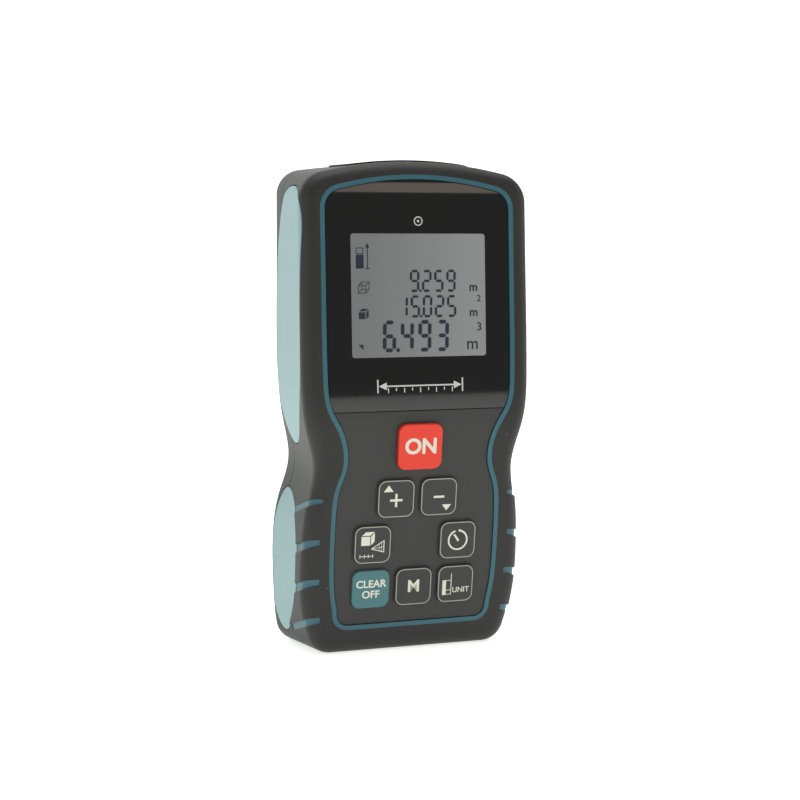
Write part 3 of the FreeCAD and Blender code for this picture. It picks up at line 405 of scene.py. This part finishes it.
drawing("lcd_view", [round_box(LCD_W, LCD_H, 0.7)], window_at(0, LCD_Z, 0.01), "lcd_panel_painted_shade", HOUSING)
on_display("lcd_row_1", number("9.259", 9.15, 0.75, 2.4, 5.2, 3.05, 0.6))
on_display("lcd_row_2", number("15.025", 9.25, -5.2, 2.4, 5.2, 3.05, 0.6))
on_display("lcd_row_3", number("6.493", 7.2, -13.2, 3.3, 7.4, 4.4, 0.92))
on_display("lcd_meter", [round_box(1.9, 3.2, 0.2, -14.6, 7.9),
                         (round_box(1.9, 1.5, 0.2, -14.6, 10.4), round_box(1.5, 1.1, 0.1, -14.6, 10.4)),
                         bar(-13.3, 6.3, -12.1, 6.3, 0.22), bar(-12.7, 6.3, -12.7, 11.2, 0.22),
                         np.array([(-13.2, 11.1), (-12.2, 11.1), (-12.7, 12.3)])])
on_display("lcd_wire_cube", wire_cube(-15.0, 0.6, 1.75, 0.85, 0.16))
on_display("lcd_cube", solid_cube(-15.0, -5.4, 1.6, 0.8))
on_display("lcd_corner", [np.array([(-15.2, -11.3), (-14.0, -11.3), (-14.0, -12.6)])])
# the unit of each row: name, sign, height, place and how far the strokes are thickened, in mm
UNITS = [
    ("unit_1", "m", 2.0, 13.7, 1.8, 0.07),
    ("unit_2", "m", 2.0, 13.7, -4.15, 0.07),
    ("unit_3", "m", 2.8, 13.3, -11.6, 0.045),
    ("power_2", "2", 1.5, 15.1, -0.9, 0.03),
    ("power_3", "3", 1.9, 15.1, -7.6, 0.04),
]
for label, sign, size, x, z, bold in UNITS:
    lettering("lcd_" + label, sign, size, window_at(0, LCD_Z, 0.03) @ Matrix.Translation((x, z, 0)),
              "lcd_segment", HOUSING, bold)


def dimension_line(half, head, tall, line, ticks):
    """A measuring mark: a line with arrow heads between two end stops, and a scale beneath it."""
    parts = [bar(-half + 1.5, 0, half - 1.5, 0, line)]
    for s in (-1, 1):
        parts.append(np.array([(s * (half - 0.2), 0.0), (s * (half - 0.2 - head), 0.45 * head),
                               (s * (half - 0.2 - head), -0.45 * head)]))
        parts.append(bar(s * half, -tall, s * half, tall, line))
    for i in range(ticks):
        x = (half - 2.6) * (2.0 * i / (ticks - 1) - 1.0)
        parts.append(bar(x, -tall if i % 2 == 0 else -0.72 * tall, x, -0.45, 0.7 * line))
    return parts


drawing("window_mark", dimension_line(10.6, 2.0, 1.6, 0.34, 9), window_at(0, 64.2, 0.01), "print_ink_mark",
        HOUSING)
drawing("window_aim_mark", [(round_box(2.2, 2.2, 1.1), round_box(1.7, 1.7, 0.85)),
                            round_box(0.6, 0.6, 0.3)], window_at(0, 102.6, 0.01), "print_ink_mark",
        HOUSING)


# ---------------------------------------------------------------- keys: outlines and legends
FLANGE, FLANGE_FLOOR = 0.5, 4.5      # a key's flange: how far it reaches out and how deep it lies
KEY_PROUD, ON_PROUD = 0.45, 0.9
KEY_ROUND, KEY_GAP = 2.0, 0.3        # a cap's corner radius, and its gap to the mat
WEB_SINK, WEB_FREE = 0.2, 0.06       # how deep the web lies, and how far it stays from the cap


def key_at(name, lift=0.01):
    """The drawing plane on a key's top face. The highest edge of the key's box is the flange's: it
    lies half the box's width up the slope from the middle, and as deep as the flange."""
    low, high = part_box(name)
    x = (low.x + high.x) / 2.0 / MM
    half = (high.x - low.x) / 2.0 / MM
    n = math.sqrt(1.0 + KEYPAD_SLOPE ** 2)
    z = high.z / MM - (half + FLANGE_FLOOR * KEYPAD_SLOPE) / n
    proud = ON_PROUD if name == "key_on" else KEY_PROUD
    return slanted(x, KNEE_Y + KEYPAD_SLOPE * (KNEE_Z - z), z, -KEYPAD_SLOPE, proud + lift)


def legend(key, label, parts):
    """A printed sign on a key's top, which moves with the key."""
    drawing(key + "_" + label, parts, key_at(key), "print_ink", key + "_cap")


def words(key, label, text, size, x, z, bold, squeeze=1.0):
    """A printed word on a key's top, x and z mm from its middle."""
    lettering(key + "_" + label, text, size, key_at(key) @ Matrix.Translation((x, z, 0)), "print_ink",
              key + "_cap", bold, squeeze)


def web(name):
    """The thin silicone that joins a key to the mat: a ring which fills the gap round the cap, WEB_SINK
    below the mat's face, and stays clear of the cap."""
    low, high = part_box(name)
    cap = (high.x - low.x) / MM - 2.0 * FLANGE
    proud = ON_PROUD if name == "key_on" else KEY_PROUD
    outer = round_box(cap + 2.0 * KEY_GAP, cap + 2.0 * KEY_GAP, KEY_ROUND + KEY_GAP)
    inner = round_box(cap + 2.0 * WEB_FREE, cap + 2.0 * WEB_FREE, KEY_ROUND + WEB_FREE)
    drawing(name + "_web", [(outer, inner)], key_at(name, -proud - WEB_SINK), "mat_silicone", HOUSING,
            0.1)


for name in sorted(NODES):
    if name.startswith("key_"):
        web(name)
for name in ("key_plus", "key_minus", "key_function", "key_timer", "key_memory", "key_unit"):
    drawing(name + "_outline", [(round_box(8.9, 8.9, 1.9), round_box(8.5, 8.5, 1.7))],
            key_at(name), "print_ink_line", name + "_cap")
words("key_on", "word", "ON", 3.5, 0.1, 0.0, 0.16)
words("key_clear", "word_1", "CLEAR", 1.75, 0.0, 1.25, 0.06)
words("key_clear", "word_2", "OFF", 1.75, 0.0, -1.35, 0.06)
words("key_memory", "word", "M", 2.9, 0.0, 0.0, 0.08)
words("key_unit", "word", "UNIT", 1.3, 1.4, -1.6, 0.02)
legend("key_plus", "sign", [bar(-1.55, -0.35, 1.55, -0.35, 0.55), bar(0, -2.0, 0, 1.25, 0.55)])
legend("key_plus", "up", [np.array([(-3.2, 1.75), (-0.75, 1.75), (-2.0, 3.4)])])
legend("key_minus", "sign", [bar(-1.35, 0.0, 1.35, 0.0, 0.55)])
legend("key_minus", "down", [np.array([(0.85, -1.95), (3.2, -1.95), (2.0, -3.45)])])
legend("key_timer", "ring", [arc_band(2.35, 0.42, -252, 82), round_box(0.55, 0.55, 0.27, 0.35, 2.35, 6)])
legend("key_timer", "hand", [np.array([(-1.25, 1.35), (-0.75, 1.5), (0.42, -0.1), (0.0, -0.4)])])
legend("key_function", "cube", solid_cube(-2.9, -0.1, 2.2, 1.1))
legend("key_function", "angle", [bar(-0.3, -1.0, 2.9, 1.0, 0.2), bar(-0.3, -1.0, 2.9, -1.9, 0.2),
                                 bar(2.8, 1.05, 2.8, -1.95, 0.22), bar(-0.3, -1.0, 2.8, -0.6, 0.12),
                                 bar(1.6, 0.1, 1.6, -1.4, 0.12), bar(2.2, 0.5, 2.2, -1.6, 0.12)])
legend("key_function", "chain", [bar(-3.1, -2.75, 0.1, -2.75, 0.16)] +
       [bar(x, -3.2, x, -2.3, 0.16) for x in (-3.1, -2.0, -1.0, 0.1)])
legend("key_unit", "bar", [bar(-2.9, -2.7, -2.9, 1.0, 0.95)])
legend("key_unit", "line", [bar(-1.15, -2.6, -1.15, 2.6, 0.18)] +
       [bar(-2.4, z, -1.1, z, 0.14) for z in (0.9, -1.5, -2.55)])


# ---------------------------------------------------------------- back: plate, cover, bracket, cells
def from_behind(x, y, z):
    """The drawing plane on a face that looks along +Y, read from behind, at x, y, z in mm."""
    m = Matrix(((-1, 0, 0, x), (0, 0, 1, y), (0, 1, 0, z), (0, 0, 0, 1)))
    return Matrix.Scale(MM, 4) @ m


def middle(name):
    """The middle and the two corners of a node's box, in mm."""
    low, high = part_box(name)
    return (low + high) / (2.0 * MM), low / MM, high / MM


def hollow_box(w, h, r, line, cx=0.0, cy=0.0):
    """The two outlines of a rounded frame whose line is as wide as line."""
    return (round_box(w, h, r, cx, cy), round_box(w - 2 * line, h - 2 * line, r - line, cx, cy))


mid, low, high = middle("name_plate")
on_plate = from_behind(mid.x, high.y + 0.01, mid.z)
drawing("plate_border", [hollow_box(24.0, 10.4, 1.0, 0.18)], on_plate, "print_ink_line", HOUSING)
rules = [bar(-10.0, z, 3.0, z, 0.14) for z in (2.8, 0.9, -1.0, -2.9)]
rules.append(hollow_box(5.0, 5.0, 0.6, 0.16, 7.4, 0.0))
drawing("plate_rules", rules, on_plate, "print_ink_line", HOUSING)
mid, low, high = middle("battery_cover")
drawing("cover_arrow", [bar(0, -2.2, 0, 1.0, 1.1), np.array([(-1.7, 0.9), (1.7, 0.9), (0.0, 3.0)])],
        from_behind(mid.x, high.y - 0.01, high.z - 14.5), "shell_abs_black", "cover",
        0.25)
drawing("cover_ribs", [round_box(18.0, 0.9, 0.44, 0, -2.2 * i, 5) for i in range(7)],
        from_behind(mid.x, high.y - 0.01, mid.z + 2.0), "shell_abs_black", "cover",
        0.2)
mid, low, high = middle("positioning_bracket")
drawing("bracket_arrow", [bar(0, -1.8, 0, 0.8, 0.9), np.array([(-1.4, 0.7), (1.4, 0.7), (0.0, 2.4)])],
        from_behind(mid.x, high.y - 0.01, high.z - 3.9), "panel_abs_painted_glare", "bracket",
        0.2)
for name in ("battery_1", "battery_2"):
    mid, low, high = middle(name)
    up = 1 if name == "battery_1" else -1
    top = mid.z + up * 13.0
    drawing(name + "_plus", [bar(-1.0, 0, 1.0, 0, 0.5), bar(0, -1.0, 0, 1.0, 0.5)],
            from_behind(mid.x, high.y - 0.03, top), "print_ink", HOUSING, 0.08)


# ---------------------------------------------------------------- floor and backdrop
def sweep_floor(width, depth, height, radius, y_back):
    """A studio sweep: a flat floor that turns up through a quarter circle into an upright wall.
    A grid of two parameters: across the width, and along the floor, the arc and the wall."""
    s = np.concatenate([np.linspace(0, 1, 12), np.linspace(1, 2, 24)[1:], np.linspace(2, 3, 6)[1:]])
    u = np.linspace(-0.5, 0.5, 12) * width
    y = np.where(s <= 1, -depth + s * (depth + y_back), 0.0)
    z = np.zeros_like(s)
    a = np.clip(s - 1, 0, 1) * math.pi / 2
    on = s > 1
    y[on] = y_back + radius * np.sin(a[on])
    z[on] = radius * (1 - np.cos(a[on]))
    up = s > 2
    z[up] = radius + (s[up] - 2) * height
    gx, gy = np.meshgrid(u, y)
    gz = np.repeat(z[:, None], len(u), 1)
    verts = np.stack([gx, gy, gz], -1).reshape(-1, 3)
    r, c = np.arange(len(s) - 1), np.arange(len(u) - 1)
    i = (r[:, None] * len(u) + c[None, :]).ravel()
    faces = np.stack([i, i + 1, i + len(u) + 1, i + len(u)], -1)
    mesh = bpy.data.meshes.new("studio_sweep")
    mesh.from_pydata(verts.tolist(), [], faces.tolist())
    mesh.polygons.foreach_set("use_smooth", np.ones(len(faces), bool))
    obj = bpy.data.objects.new("studio_sweep", mesh)
    bpy.context.scene.collection.objects.link(obj)
    return obj


def backdrop_paper():
    """Matte white background paper, lit evenly from behind."""
    m = surface("backdrop_paper", "f4f5f3", "f8f9f7", 0.45, 3.0, 0.0)
    shader = [n for n in m.node_tree.nodes if n.type == "BSDF_PRINCIPLED"][0]
    shader.inputs["Emission Color"].default_value = linear("f8fcf6")
    shader.inputs["Emission Strength"].default_value = 0.73
    return m


floor = sweep_floor(4.0, 1.2, 1.5, 0.4, 0.9)
floor.data.materials.append(backdrop_paper())

# ---------------------------------------------------------------- light
scene = bpy.context.scene
world = bpy.data.worlds.new("studio")
scene.world = world
world.use_nodes = True
world.node_tree.nodes["Background"].inputs["Color"].default_value = linear("f2f5f4")
world.node_tree.nodes["Background"].inputs["Strength"].default_value = 0.23


def softbox(name, place, target, width, height, watts, tint="ffffff"):
    """A rectangular light at place that looks at target."""
    light = bpy.data.lights.new(name, "AREA")
    light.color = linear(tint)[:3]
    light.shape = "RECTANGLE"
    light.size = width
    light.size_y = height
    light.energy = watts
    obj = bpy.data.objects.new(name, light)
    obj.location = place
    obj.rotation_euler = (Vector(target) - Vector(place)).to_track_quat("-Z", "Y").to_euler()
    scene.collection.objects.link(obj)


softbox("softbox_left", (-0.75, -0.25, 0.35), (0, 0, 0.06), 0.6, 0.8, 1.15)
softbox("softbox_right", (0.8, -0.1, 0.3), (0, 0, 0.06), 0.5, 0.8, 1.0)
softbox("softbox_top", (0.05, -0.05, 0.75), (0, 0, 0.06), 0.7, 0.5, 1.9)
softbox("softbox_front", (0.35, -0.9, 0.45), (0, 0, 0.1), 0.5, 0.3, 0.7, "ffe9d6")
softbox("backdrop_light", (0.0, 0.2, 1.2), (0, 0.9, 0.1), 1.6, 0.5, 5.0)

# ---------------------------------------------------------------- camera at the picture's view
yaw, pitch, reach = math.radians(20.0), math.radians(4.964), 0.42907
look = Vector((math.sin(yaw) * math.cos(pitch), math.cos(yaw) * math.cos(pitch), -math.sin(pitch)))
data = bpy.data.cameras.new("camera")
data.lens = 79.36
data.sensor_width = 36.0
camera = bpy.data.objects.new("camera", data)
camera.location = Vector((0.000515, 0.00042, 0.059476)) - look * reach
camera.rotation_euler = look.to_track_quat("-Z", "Y").to_euler()
scene.collection.objects.link(camera)
scene.camera = camera
scene.view_settings.view_transform = "Standard"
